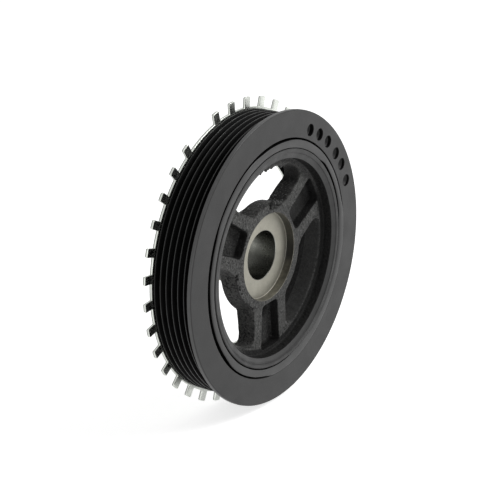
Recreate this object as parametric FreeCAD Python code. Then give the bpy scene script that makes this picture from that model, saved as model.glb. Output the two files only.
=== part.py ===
import FreeCAD, Part
import math
import os

Vector = FreeCAD.Vector

# Crankshaft harmonic balancer with a ribbed belt track and a toothed timing ring.
# The bore axis is Y, the front face looks along -Y, +Z is up and +X is to the right
# seen from the front. Zero is on the axis, at the middle of the belt track.
# Angles run clockwise from the top, seen from the front. Sizes are in millimetres.

# Belt track, a six rib profile
groove_pitch = 3.56
groove_count = 6
groove_angle = 40.0
crest_width = 0.8
crest_radius = 75.25

# Inertia ring that carries the belt track, its flange standing above the crests
ring_thickness = 11.15
flange_height = 3.15
flange_width = 2.9
flange_chamfer = 0.45
rear_land_width = 0.35

# Balance drillings in the front face of the inertia ring
drilling_angles = [24.4, 32.9, 41.3, 51.0, 58.8, 68.3]
drilling_insets = [9.3, 8.9, 8.5, 8.4, 7.8, 7.8]
drilling_diameter = 6.3
drilling_depth = 2.6

# Rubber between the hub rim and the inertia ring
rubber_thickness = 5.8
rubber_front_recess = 0.15
rubber_gap_width = 1.8
rubber_gap_depth = 3.0
rubber_rear_recess = 1.0

# Hub rim
rim_thickness = 5.3
rim_proud = 0.5
rim_dish_depth = 2.1
rim_rear_root_thickness = 6.8
rim_rear_tip_thickness = 4.9
ledge_chamfer = 1.0

# Hub web and its three double spokes
web_recess = 6.3
web_thickness = 9.8
spoke_count = 3
first_spoke_angle = 58.5
spoke_half_width = 15.0
window_corner_radius = 5.0
ledge_width = 3.4

# Blind pocket in the face of each spoke
pocket_inner_wall = 2.2
pocket_outer_wall = 2.0
pocket_inner_half_width = 7.2
pocket_outer_half_width = 8.8
pocket_depth = 5.6
pocket_draft = 0.7
pocket_corner_radius = 2.6

# Hub boss, bolt seat, bore and the nose that the front seal runs on
boss_wall = 5.1
boss_taper_length = 13.4
nose_wall = 5.0
nose_chamfer = 1.0
seat_width = 10.6
seat_depth = 4.8
seat_corner_chamfer = 0.9
bore_radius = 13.0
bore_length = 26.9
bore_chamfer = 0.4

# Toothed timing ring, a stamped plate with one tooth left out
plate_thickness = 1.5
plate_lip = 1.8
tooth_reach = 3.4
tooth_height = 5.4
tooth_width = 4.7
tooth_positions = 36
tooth_phase_angle = 5.36
missing_tooth = 33
tooth_tip_chamfer = 0.4
# The plate lies against the rear face of the hub rim and clears the inertia ring
plate_running_gap = 0.4

# Places that follow from the sizes
track_half_width = groove_count * groove_pitch / 2
flank_slope = math.tan(math.radians(groove_angle / 2))
groove_root_radius = crest_radius - (groove_pitch - crest_width) / 2 / flank_slope
flange_radius = crest_radius + flange_height
ring_bore_radius = crest_radius - ring_thickness
front_face_y = -track_half_width - flange_width
ring_rear_y = track_half_width + rear_land_width
plate_seat_y = ring_rear_y + plate_running_gap
hub_radius = ring_bore_radius - rubber_thickness
rim_front_y = front_face_y - rim_proud
rim_inner_radius = hub_radius - rim_thickness
rim_rear_root_radius = hub_radius - rim_rear_root_thickness
rim_rear_tip_radius = hub_radius - rim_rear_tip_thickness
window_outer_radius = rim_inner_radius - ledge_width
seat_radius = bore_radius + seat_width
nose_radius = bore_radius + nose_wall
boss_radius = seat_radius + boss_wall
pocket_inner_radius = seat_radius + pocket_inner_wall
pocket_outer_radius = rim_inner_radius - pocket_outer_wall
plate_inner_radius = rim_rear_tip_radius - plate_lip
plate_tip_radius = flange_radius + tooth_reach
plate_root_radius = plate_tip_radius - tooth_height
web_front_y = front_face_y + web_recess
web_rear_y = web_front_y + web_thickness
seat_y = web_front_y + seat_depth
taper_end_y = web_rear_y + boss_taper_length
nose_rear_y = seat_y + bore_length
spoke_pitch_angle = 360.0 / spoke_count

axis_origin = Vector(0, 0, 0)
axis_direction = Vector(0, 1, 0)
# How far a cutting shape runs past the face that it opens
overrun = 1.0
# Two places closer than this count as one
same_place = 1e-3


def turned(profile):
    """Solid of revolution about Y from a closed outline of (radius, y) points."""
    points = [Vector(radius, y, 0) for radius, y in profile]
    face = Part.Face(Part.makePolygon(points + [points[0]]))
    return face.revolve(axis_origin, axis_direction, 360)


def about_axis(shape, angle):
    """Copy of a shape turned clockwise about the bore axis, seen from the front."""
    copy = shape.copy()
    copy.rotate(axis_origin, axis_direction, angle)
    return copy


def edges_front_to_back(shape, length):
    """Edges of a cutting shape that run from its front to its rear."""
    return [edge for edge in shape.Edges if edge.BoundBox.YLength > length - same_place]


def loft_between(front_outline, front_y, rear_outline, rear_y):
    """Straight-sided solid between two outlines of (x, z) points."""
    wires = []
    for outline, y in ((front_outline, front_y), (rear_outline, rear_y)):
        points = [Vector(x, y, z) for x, z in outline]
        wires.append(Part.makePolygon(points + [points[0]]))
    return Part.makeLoft(wires, True, True)


def belt_track_points():
    """Ribbed part of the ring profile, from the root of the first groove to the rear land."""
    points = []
    for groove in range(groove_count):
        start = -track_half_width + groove * groove_pitch
        points.append((groove_root_radius, start + groove_pitch / 2))
        points.append((crest_radius, start + groove_pitch - crest_width / 2))
        points.append((crest_radius, start + groove_pitch + crest_width / 2))
    return points[:-1]


def balance_drilling(angle, inset):
    """Blind drilling cut from the front face, its middle set in from the flange."""
    mouth = Vector(0, front_face_y - overrun, flange_radius - inset)
    depth = drilling_depth + overrun
    return about_axis(Part.makeCylinder(drilling_diameter / 2, depth, mouth, axis_direction), angle)


def make_pulley_ring():
    """Inertia ring with the front flange, the ribbed belt track and the balance drillings."""
    first_flank_height = flange_radius - groove_root_radius
    flange_back_y = groove_pitch / 2 - track_half_width - first_flank_height * flank_slope
    profile = [
        (ring_bore_radius, front_face_y),
        (flange_radius - flange_chamfer, front_face_y),
        (flange_radius, front_face_y + flange_chamfer),
        (flange_radius, flange_back_y),
    ]
    profile += belt_track_points()
    profile.append((crest_radius, ring_rear_y))
    profile.append((ring_bore_radius, ring_rear_y))
    ring = turned(profile)
    for angle, inset in zip(drilling_angles, drilling_insets):
        ring = ring.cut(balance_drilling(angle, inset))
    return ring


def make_damping_ring():
    """Bonded rubber ring, sloping back at the front into a groove beside the inertia ring."""
    face_y = front_face_y + rubber_front_recess
    rear_y = ring_rear_y - rubber_rear_recess
    return turned([
        (hub_radius, face_y),
        (ring_bore_radius - rubber_gap_width, face_y),
        (ring_bore_radius, front_face_y + rubber_gap_depth),
        (ring_bore_radius, rear_y),
        (hub_radius, rear_y),
    ])


def hub_blank():
    """Turned form of the hub, before the windows and pockets are cut through its web."""
    return turned([
        (bore_radius, seat_y + bore_chamfer),
        (bore_radius + bore_chamfer, seat_y),
        (seat_radius - seat_corner_chamfer, seat_y),
        (seat_radius, seat_y - seat_corner_chamfer),
        (seat_radius, web_front_y),
        (rim_inner_radius - ledge_chamfer, web_front_y),
        (rim_inner_radius, web_front_y - ledge_chamfer),
        (rim_inner_radius, rim_front_y + rim_dish_depth),
        (hub_radius, rim_front_y),
        (hub_radius, plate_seat_y),
        (rim_rear_tip_radius, plate_seat_y),
        (rim_rear_root_radius, web_rear_y),
        (boss_radius, web_rear_y),
        (nose_radius, taper_end_y),
        (nose_radius, nose_rear_y - nose_chamfer),
        (nose_radius - nose_chamfer, nose_rear_y),
        (bore_radius, nose_rear_y),
    ])


def window_cutter():
    """Opening between two spokes, pointing up: an arc sector with sides parallel to the spokes."""
    half_pitch = math.radians(spoke_pitch_angle / 2)
    depth = web_thickness + 2 * overrun
    front = Vector(0, web_front_y - overrun, 0)
    sector = Part.makeCylinder(window_outer_radius, depth, front, axis_direction)
    sector = sector.cut(Part.makeCylinder(boss_radius, depth, front, axis_direction))
    reach = 2 * hub_radius
    apex = spoke_half_width / math.sin(half_pitch)
    side = (reach * math.sin(half_pitch), apex + reach * math.cos(half_pitch))
    outline = [(0, apex), side, (-side[0], side[1])]
    wedge = loft_between(outline, web_front_y - 2 * overrun, outline, web_rear_y + 2 * overrun)
    window = sector.common(wedge)
    return window.makeFillet(window_corner_radius, edges_front_to_back(window, depth))


def pocket_outline(shrink):
    """Tapered outline of a spoke pocket that points up."""
    inner, outer = pocket_inner_radius + shrink, pocket_outer_radius - shrink
    inner_half, outer_half = pocket_inner_half_width - shrink, pocket_outer_half_width - shrink
    return [(-inner_half, inner), (inner_half, inner), (outer_half, outer), (-outer_half, outer)]


def pocket_cutter():
    """Blind drafted pocket in the face of a spoke that points up."""
    slope = pocket_draft / pocket_depth
    depth = pocket_depth + overrun
    mouth_y = web_front_y - overrun
    mouth = pocket_outline(-overrun * slope)
    floor = pocket_outline(pocket_draft)
    pocket = loft_between(mouth, mouth_y, floor, mouth_y + depth)
    return pocket.makeFillet(pocket_corner_radius, edges_front_to_back(pocket, depth))


def make_hub():
    """Cast hub: rim, three double spokes with windows between, tapered boss and sealing nose."""
    hub = hub_blank()
    window = window_cutter()
    pocket = pocket_cutter()
    for spoke in range(spoke_count):
        angle = first_spoke_angle + spoke * spoke_pitch_angle
        hub = hub.cut(about_axis(window, angle + spoke_pitch_angle / 2))
        hub = hub.cut(about_axis(pocket, angle))
    return hub


def tooth_blank(angle):
    """One straight-sided tooth of the timing ring, run into the plate behind its root."""
    corner = Vector(-tooth_width / 2, plate_seat_y, plate_root_radius - tooth_height)
    blank = Part.makeBox(tooth_width, plate_thickness, 2 * tooth_height + overrun, corner)
    return about_axis(blank, angle)


def make_tone_ring():
    """Stamped timing ring: a flat plate with square teeth round its edge."""
    plate = turned([
        (plate_inner_radius, plate_seat_y),
        (plate_root_radius, plate_seat_y),
        (plate_root_radius, plate_seat_y + plate_thickness),
        (plate_inner_radius, plate_seat_y + plate_thickness),
    ])
    teeth = []
    for position in range(tooth_positions):
        if position != missing_tooth:
            teeth.append(tooth_blank(tooth_phase_angle + position * 360.0 / tooth_positions))
    tip_disc = Part.makeCylinder(plate_tip_radius, plate_thickness,
                                 Vector(0, plate_seat_y, 0), axis_direction)
    teeth = [tooth.common(tip_disc) for tooth in teeth]
    ring = plate.fuse(teeth).removeSplitter()
    tips = []
    for edge in ring.Edges:
        box = edge.BoundBox
        along_axis = max(box.XLength, box.ZLength) < same_place
        radius = math.hypot(box.Center.x, box.Center.z)
        if along_axis and abs(radius - plate_tip_radius) < same_place:
            tips.append(edge)
    return ring.makeChamfer(tooth_tip_chamfer, tips)


def save(shape, name):
    """Write one sub-part to its own file."""
    if not shape.isValid():
        raise RuntimeError(name + " is not a valid solid")
    shape.Solids[0].exportStep("parts/" + name + ".step")


os.makedirs("parts", exist_ok=True)
save(make_hub(), "hub")
save(make_damping_ring(), "damping_ring")
save(make_pulley_ring(), "pulley_ring")
save(make_tone_ring(), "tone_ring")
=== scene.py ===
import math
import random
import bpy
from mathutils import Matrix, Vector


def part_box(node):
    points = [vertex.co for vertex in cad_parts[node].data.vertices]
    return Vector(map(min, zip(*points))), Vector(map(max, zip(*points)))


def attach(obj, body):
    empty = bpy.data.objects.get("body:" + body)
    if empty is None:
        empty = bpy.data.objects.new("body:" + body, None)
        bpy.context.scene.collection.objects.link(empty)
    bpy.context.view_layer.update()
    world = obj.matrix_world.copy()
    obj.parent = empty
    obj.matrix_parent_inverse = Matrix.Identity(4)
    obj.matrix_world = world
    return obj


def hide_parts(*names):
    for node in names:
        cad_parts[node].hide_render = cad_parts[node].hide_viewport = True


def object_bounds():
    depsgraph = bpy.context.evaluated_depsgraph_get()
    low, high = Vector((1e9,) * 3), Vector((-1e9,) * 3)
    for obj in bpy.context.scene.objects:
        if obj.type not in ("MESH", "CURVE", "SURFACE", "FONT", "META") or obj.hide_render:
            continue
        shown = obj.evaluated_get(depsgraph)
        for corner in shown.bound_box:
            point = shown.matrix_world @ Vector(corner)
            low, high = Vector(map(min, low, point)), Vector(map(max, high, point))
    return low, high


bl_info = {
    "name": "Harmonic Balancer",
    "version": (1, 0, 0),
    "blender": (4, 5, 0),
    "location": "3D View > Sidebar > Balancer",
    "description": "Builds a crankshaft balancer wheel with its belt ring, rubber and toothed ring",
    "category": "Object",
}

from functools import partial

import bmesh
import bpy
from mathutils import Matrix, Vector, geometry, kdtree, noise

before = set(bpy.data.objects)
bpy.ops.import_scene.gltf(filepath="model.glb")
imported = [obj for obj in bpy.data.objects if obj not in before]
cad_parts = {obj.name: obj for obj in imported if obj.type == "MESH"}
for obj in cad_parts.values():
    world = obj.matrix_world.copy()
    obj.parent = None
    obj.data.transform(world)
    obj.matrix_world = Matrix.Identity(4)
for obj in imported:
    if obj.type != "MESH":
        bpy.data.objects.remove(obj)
frame_low, frame_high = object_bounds()
hub_low, hub_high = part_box("hub")
ring_low, ring_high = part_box("pulley_ring")
rubber_low, rubber_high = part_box("damping_ring")
plate_low, plate_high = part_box("tone_ring")

# The bore axis is Y, the front face looks along -Y and +Z is up.
# Angles run clockwise from the top, seen from the front. One millimetre in metres:
MM = 0.001

# Points round the hub and the plate, and round the belt ring and the rubber
WHEEL_SEGMENTS = 360
TRACK_SEGMENTS = 540
# Distances between the points of the windows and pockets and those of the flats beside them
OUTLINE_SPACING = 0.6 * MM
FRONT_SPACING = 0.5 * MM
REAR_SPACING = 1.4 * MM
# Faces that meet at more than this angle keep a sharp edge
SHARP_ANGLE = math.radians(38)
# The bore axis as a point of the wheel's plane
BORE_AXIS = Vector((0.0, 0.0))


# Properties

def length(name, millimetres, description):
    """Length property, its default given in millimetres."""
    return bpy.props.FloatProperty(
        name=name, description=description, default=millimetres * MM,
        unit="LENGTH", subtype="DISTANCE", precision=5)


def turn(name, degrees, description):
    """Angle property, its default given in degrees."""
    return bpy.props.FloatProperty(
        name=name, description=description, default=math.radians(degrees),
        unit="ROTATION", subtype="ANGLE")


def colour(name, shade, description):
    """Colour property without transparency."""
    return bpy.props.FloatVectorProperty(
        name=name, description=description, default=shade, size=3,
        min=0.0, max=1.0, subtype="COLOR")


def count(name, number, least, description):
    """Whole number property with the least value it may have."""
    return bpy.props.IntProperty(name=name, description=description, default=number, min=least)


def level(name, value, least, description, **kind):
    """Number property with the least value it may have."""
    return bpy.props.FloatProperty(
        name=name, description=description, default=value, min=least, **kind)


class HubSizes(bpy.types.PropertyGroup):
    """Sizes of the cast hub."""
    radius: length("Rim radius", 58.3, "Outside of the rim, where the rubber is bonded")
    rim_inside: length("Rim inside", 53.0, "Radius of the recess in front of the web")
    lip_inside: length("Lip inside", 56.0, "Radius where the flat lip of the rim ends")
    dish_depth: length("Dish depth", 1.5, "How far the inner edge of the rim lies behind its lip")
    web_front: length("Web front", -7.28, "Place of the front of the web along the bore axis")
    web_rear: length("Web rear", 2.52, "Place of the rear of the web along the bore axis")
    window_outside: length("Window outside", 49.6, "Radius of the outer wall of each window")
    boss_radius: length("Boss radius", 28.7, "Radius of the boss between the windows")
    spoke_half_width: length("Spoke half width", 15.0, "Half the width of each double spoke")
    window_corner: length("Window corner", 5.0, "Corner radius of each window")
    window_lean: length("Window lean", 2.0, "How far window walls lean in at the rear by the boss")
    first_spoke: turn("First spoke", 58.5, "Angle of the first spoke from the top")
    pocket_depth: length("Pocket depth", 5.6, "Depth of the blind pocket in each spoke")
    pocket_draft: length("Pocket draft", 0.7, "How far each pocket wall leans in towards the floor")
    pocket_corner: length("Pocket corner", 2.6, "Corner radius of each pocket")
    seat_radius: length("Seat radius", 23.6, "Radius of the counterbore")
    seat_place: length("Seat place", -2.48, "Place of the bolt seat along the bore axis")
    bore_radius: length("Bore radius", 13.0, "Radius of the crankshaft bore")
    nose_radius: length("Nose radius", 18.0, "Radius that the front seal runs on")
    casting_grain: length("Casting grain", 0.1, "Height of the coarse roughness of the casting")


class PulleyRingSizes(bpy.types.PropertyGroup):
    """Sizes of the ring that carries the belt track."""
    inside: length("Inside", 63.8, "Radius of the bore that holds the rubber")
    crest_radius: length("Crest radius", 75.25, "Radius over the ribs of the belt track")
    groove_pitch: length("Groove pitch", 3.56, "Distance from one groove to the next")
    grooves: count("Grooves", 6, 1, "Number of V grooves in the belt track")
    groove_angle: turn("Groove angle", 40.0, "Angle between the flanks of a groove")
    crest_width: length("Crest width", 0.8, "Width of the flat on top of each rib")
    drilling_radius: length("Drilling radius", 3.15, "Radius of each balance drilling")


class DampingRingSizes(bpy.types.PropertyGroup):
    """Sizes of the rubber between the hub and the belt ring."""
    gap_width: length("Gap width", 1.5, "Width of the groove beside the belt ring")
    gap_depth: length("Gap depth", 3.0, "Depth of the groove beside the belt ring")
    crown: length("Crown", 0.52, "How far the middle of the rubber stands in front of its solid")
    slit_width: length("Slit width", 0.24, "Width of the crack beside the hub rim")
    slit_depth: length("Slit depth", 0.8, "Depth of the crack beside the hub rim")
    torn_width: length("Torn width", 1.3, "Width of the crack where the rubber has let go")
    torn_depth: length("Torn depth", 4.0, "Depth of the crack where the rubber has let go")


class ToneRingSizes(bpy.types.PropertyGroup):
    """Sizes of the toothed timing ring."""
    inside: length("Inside", 51.6, "Radius of the hole in the plate")
    root_radius: length("Root radius", 76.4, "Radius between the teeth")
    tip_radius: length("Tip radius", 81.8, "Radius over the teeth")
    tooth_width: length("Tooth width", 4.7, "Width of each tooth")
    positions: count("Positions", 36, 3, "Tooth places round the ring")
    missing: count("Missing", 33, 0, "Number of the place without a tooth, counted from nought")
    first_tooth: turn("First tooth", 5.36, "Angle of the first tooth from the top")


class FinishColours(bpy.types.PropertyGroup):
    """Colours of the finishes."""
    casting: colour("Casting", (0.075, 0.075, 0.073), "Grey coat on the rough casting")
    # Also the colour of the painted shade on the casting's walls, corners and pits
    casting_dark: colour("Casting shade", (0.012, 0.012, 0.012), "Dark specks in the casting")
    rim: colour("Rim", (0.03, 0.03, 0.03), "Smoother coat on the rim of the hub")
    seat: colour("Seat", (0.33, 0.32, 0.275), "Machined bolt seat")
    bore: colour("Bore", (0.3, 0.305, 0.275), "Machined bore")
    # The wall of the counterbore is darkened by height with painted shade, in a darker tone of this
    # colour
    counterbore: colour("Counterbore", (0.15, 0.14, 0.108), "Oil-darkened wall of the counterbore")
    ring: colour("Ring", (0.018, 0.018, 0.018), "Satin coat on the belt ring")
    # Darker than the ring's coat: painted shade in the grooves
    groove: colour("Groove", (0.004, 0.004, 0.004), "Coat inside the grooves")
    rubber: colour("Rubber", (0.003, 0.003, 0.003), "Bare rubber")
    dusted: colour("Dusted rubber", (0.026, 0.026, 0.026), "Grey coat that strayed on to the rubber")
    plate: colour("Plate", (0.60, 0.62, 0.58), "Bright timing plate")


class StageSettings(bpy.types.PropertyGroup):
    """Floor, light and camera."""
    floor: colour("Floor", (0.9, 0.9, 0.9), "Colour of the floor")
    key_power: level("Key lamp", 14.0, 0.0, "Power of the main soft lamp", subtype="POWER")
    fill_power: level("Fill lamp", 2.6, 0.0, "Power of the fill lamp", subtype="POWER")
    world_level: level("World level", 0.3, 0.0, "Brightness of the surroundings")
    focal_length: level("Focal length", 116.78, 1.0, "Focal length of the camera", unit="CAMERA")


# Outlines in the plane of the wheel

def polar(angle, radius=1.0):
    """Point of the wheel's plane at an angle clockwise from the top."""
    return Vector((radius * math.sin(angle), radius * math.cos(angle)))


def circle(radius, steps, centre=BORE_AXIS):
    """Evenly spaced points of a circle."""
    return [centre + polar(2 * math.pi * step / steps, radius) for step in range(steps)]


def degrees_from_top(point):
    """Angle of a point of the wheel's plane, clockwise from the top."""
    return math.degrees(math.atan2(point.x, point.y))


def mirrored(point):
    """Point or direction on the other side of the upright line through the bore axis."""
    return Vector((-point.x, point.y))


def quarter_turn(steps):
    """Sine, and one less the cosine, at the steps of a quarter turn."""
    angles = [math.pi / 2 * step / steps for step in range(steps + 1)]
    return [(math.sin(angle), 1 - math.cos(angle)) for angle in angles]


def arc_run(centre, radius, start, end, spacing, facing=1.0):
    """Points of an arc with the direction into the metal; the end point is left out."""
    steps = max(2, math.ceil(abs(end - start) * radius / spacing))
    run = []
    for step in range(steps):
        direction = polar(start + (end - start) * step / steps)
        run.append((centre + direction * radius, direction * facing))
    return run


def straight_run(start, end, normal, spacing):
    """Points of a straight side with the direction into the metal; the end is left out."""
    steps = max(1, math.ceil((end - start).length / spacing))
    return [(start.lerp(end, step / steps), normal) for step in range(steps)]


def turned_outline(run, angle):
    """Outline of points and normals turned clockwise about the bore axis."""
    spin = Matrix.Rotation(-angle, 2)
    return [(spin @ point, spin @ normal) for point, normal in run]


def offset_outline(run, distance):
    """Points of an outline moved into the metal by a distance."""
    return [point + normal * distance for point, normal in run]


def window_outline(sizes, half_pitch, spacing):
    """Outline of a window that points up, its sides parallel to the spokes beside it."""
    corner = sizes.window_corner
    spoke = polar(half_pitch)
    across = Vector((-spoke.y, spoke.x))
    stand_off = sizes.spoke_half_width + corner

    def corner_centre(distance):
        return spoke * math.sqrt(distance ** 2 - stand_off ** 2) + across * stand_off

    outer_centre = corner_centre(sizes.window_outside - corner)
    inner_centre = corner_centre(sizes.boss_radius + corner)
    outer_angle = math.atan2(outer_centre.x, outer_centre.y)
    inner_angle = math.atan2(inner_centre.x, inner_centre.y)
    side_angle = half_pitch + math.pi / 2
    run = arc_run(BORE_AXIS, sizes.window_outside, -outer_angle, outer_angle, spacing)
    run += arc_run(outer_centre, corner, outer_angle, side_angle, spacing)
    run += straight_run(outer_centre - across * corner, inner_centre - across * corner,
                        -across, spacing)
    run += arc_run(inner_centre, corner, side_angle, inner_angle + math.pi, spacing)
    run += arc_run(BORE_AXIS, sizes.boss_radius, inner_angle, -inner_angle, spacing, -1.0)
    across, outer_centre, inner_centre = map(mirrored, (across, outer_centre, inner_centre))
    full_turn = 2 * math.pi
    run += arc_run(inner_centre, corner, math.pi - inner_angle, full_turn - side_angle, spacing)
    run += straight_run(inner_centre - across * corner, outer_centre - across * corner,
                        -across, spacing)
    run += arc_run(outer_centre, corner, full_turn - side_angle, full_turn - outer_angle, spacing)
    return run


def rounded_outline(corners, radius, spacing):
    """Outline of a convex shape, its corners listed clockwise and rounded."""
    number = len(corners)
    run = []
    for index in range(number):
        before, here, after = corners[index - 1], corners[index], corners[(index + 1) % number]
        inward = (here - before).normalized()
        outward = (after - here).normalized()
        start_normal = Vector((-inward.y, inward.x))
        end_normal = Vector((-outward.y, outward.x))
        half_turn = start_normal.angle(end_normal) / 2
        bisector = (start_normal + end_normal).normalized()
        centre = here - bisector * radius / math.cos(half_turn)
        start_angle = math.atan2(start_normal.x, start_normal.y)
        run += arc_run(centre, radius, start_angle, start_angle + 2 * half_turn, spacing)
        following = (corners[(index + 2) % number] - after).normalized()
        next_half = outward.angle(following) / 2
        side_start = centre + end_normal * radius
        side_end = after - outward * radius * math.tan(next_half)
        run += straight_run(side_start, side_end, end_normal, spacing)
    return run


def pocket_outline(sizes, spacing):
    """Outline of a spoke pocket that points up, narrower towards the boss."""
    seat_wall, rim_wall = 2.2 * MM, 2.0 * MM
    inner = sizes.seat_radius + seat_wall
    outer = sizes.rim_inside - rim_wall
    inner_half, outer_half = 7.2 * MM, 8.8 * MM
    corners = [Vector((-outer_half, outer)), Vector((outer_half, outer)),
               Vector((inner_half, inner)), Vector((-inner_half, inner))]
    return rounded_outline(corners, sizes.pocket_corner, spacing)


def rounded_profile(corners):
    """Profile of (radius, place) points from corners that each have a rounding."""
    profile = []
    steps = 4
    for index, (radius, place, rounding) in enumerate(corners):
        here = Vector((radius, place))
        if rounding == 0.0:
            profile.append(here)
            continue
        before = Vector(corners[index - 1][:2]) - here
        after = Vector(corners[(index + 1) % len(corners)][:2]) - here
        towards_before, towards_after = before.normalized(), after.normalized()
        half = towards_before.angle(towards_after) / 2
        reach = rounding / math.tan(half)
        # A point on the flat close to each end keeps the shading of the flat even
        support = min(0.3 * rounding, 0.1 * MM)
        centre = here + (towards_before + towards_after).normalized() * rounding / math.sin(half)
        first = here + towards_before * reach - centre
        last = here + towards_after * reach - centre
        profile.append(centre + first + towards_before * support)
        for step in range(steps + 1):
            profile.append(centre + first.normalized().slerp(last.normalized(), step / steps)
                           * rounding)
        profile.append(centre + last + towards_after * support)
    return profile


# Building a mesh

class Shell:
    """Points and faces of one piece, collected before they become a mesh."""

    def __init__(self):
        self.points = []
        self.rough = []
        self.faces = []
        self.finishes = []

    def loop(self, outline, place, rough=0.0):
        """Add a closed outline at one place along the bore axis."""
        start = len(self.points)
        self.points += [Vector((point.x, place, point.y)) for point in outline]
        self.rough += [rough] * len(outline)
        return list(range(start, len(self.points)))

    def band(self, first, second, finish):
        """Join two closed loops with the same number of points."""
        for index in range(len(first)):
            following = (index + 1) % len(first)
            self.faces.append((first[index], first[following], second[following], second[index]))
            self.finishes.append(finish)

    def bands(self, loops, finish):
        """Join a row of loops."""
        for first, second in zip(loops, loops[1:]):
            self.band(first, second, finish)

    def point_cap(self, loop, place, centre, finish):
        """Close a loop to one point."""
        self.points.append(Vector((centre.x, place, centre.y)))
        self.rough.append(0.0)
        tip = len(self.points) - 1
        for index in range(len(loop)):
            self.faces.append((loop[index], loop[(index + 1) % len(loop)], tip))
            self.finishes.append(finish)

    def fill(self, loops, finish, spacing=0.0, seed=1):
        """Fill the flat inside the first loop and outside the others, rough if it has a spacing."""
        indices = [index for loop in loops for index in loop]
        place = self.points[indices[0]].y
        flat = [Vector((self.points[index].x, self.points[index].z)) for index in indices]
        edges = []
        start = 0
        for loop in loops:
            edges += [(start + step, start + (step + 1) % len(loop)) for step in range(len(loop))]
            start += len(loop)
        border = [(flat[a], flat[b]) for a, b in edges]
        if spacing:
            inner = scattered_points(border, flat, spacing, seed)
            first_new = len(self.points)
            self.points += [Vector((point.x, place, point.y)) for point in inner]
            self.rough += [1.0] * len(inner)
            indices += range(first_new, len(self.points))
            flat += inner
        whole_area, same_point = 0, 1e-8
        vertices, _, faces, origins, _, _ = geometry.delaunay_2d_cdt(
            flat, edges, [], whole_area, same_point)
        for face in faces:
            sources = [origins[vertex][0] for vertex in face]
            # A face between points of the border alone can lie outside it
            if max(sources) < len(edges):
                middle = (vertices[face[0]] + vertices[face[1]] + vertices[face[2]]) / 3
                if not inside(middle, border):
                    continue
            self.faces.append(tuple(indices[source] for source in sources))
            self.finishes.append(finish)

    def piece(self, name, materials, rework=None):
        """Turn the collected faces into a smooth shaded object."""
        mesh = bpy.data.meshes.new(name)
        mesh.from_pydata(self.points, [], self.faces)
        for material in materials:
            mesh.materials.append(material)
        mesh.polygons.foreach_set("material_index", self.finishes)
        work = bmesh.new()
        work.from_mesh(mesh)
        bmesh.ops.recalc_face_normals(work, faces=work.faces)
        if rework:
            work.normal_update()
            rework(work, self.rough)
        work.to_mesh(mesh)
        work.free()
        mesh.polygons.foreach_set("use_smooth", [True] * len(mesh.polygons))
        mesh.set_sharp_from_angle(angle=SHARP_ANGLE)
        made = bpy.data.objects.new(name, mesh)
        bpy.context.scene.collection.objects.link(made)
        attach(made, "root")
        return made


def inside(point, border):
    """Whether a point of the plane is within closed outlines, counted even and odd."""
    crossings = 0
    for start, end in border:
        if (start.y > point.y) != (end.y > point.y):
            reach = start.x + (point.y - start.y) * (end.x - start.x) / (end.y - start.y)
            if reach > point.x:
                crossings += 1
    return crossings % 2 == 1


def scattered_points(border, outline, spacing, seed):
    """Jittered points in rows that fill an area, kept off its border."""
    shuffle = random.Random(seed)
    jitter, clearance = 0.2, 0.62
    tree = kdtree.KDTree(len(outline))
    for index, point in enumerate(outline):
        tree.insert((point.x, point.y, 0.0), index)
    tree.balance()
    low = min(point.y for point in outline)
    high = max(point.y for point in outline)
    row_step = spacing * math.sqrt(3) / 2
    points = []
    row = 0
    height = low + row_step / 2
    while height < high:
        crossings = sorted(
            start.x + (height - start.y) * (end.x - start.x) / (end.y - start.y)
            for start, end in border if (start.y > height) != (end.y > height))
        for left, right in zip(crossings[::2], crossings[1::2]):
            place = (math.floor(left / spacing) + (row % 2) / 2) * spacing
            while place < right:
                if place > left:
                    point = Vector((place + shuffle.uniform(-jitter, jitter) * spacing,
                                    height + shuffle.uniform(-jitter, jitter) * spacing))
                    if tree.find((point.x, point.y, 0.0))[2] > clearance * spacing:
                        points.append(point)
                place += spacing
        height += row_step
        row += 1
    return points


def turned_surface(shell, profile, steps, finish_at):
    """Turned loops with bands between them, each with the finish for its middle."""
    loops = [shell.loop(circle(radius, steps), place) for radius, place in profile]
    for (first, second), (start, end) in zip(zip(loops, loops[1:]), zip(profile, profile[1:])):
        shell.band(first, second, finish_at(*(start + end) / 2))
    return loops


def smooth_step(low, high, value):
    """Soft change from nought to one between two values."""
    share = min(1.0, max(0.0, (value - low) / (high - low)))
    return share * share * (3 - 2 * share)


def arch(start, end, edge, angle):
    """One between two angles in degrees, fading to nought over an edge outside them."""
    middle = (start + end) / 2
    half = (end - start) / 2
    away = abs((angle - middle + 180.0) % 360.0 - 180.0)
    return 1.0 - smooth_step(half, half + edge, away)


# Marks of casting, machining and use

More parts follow.
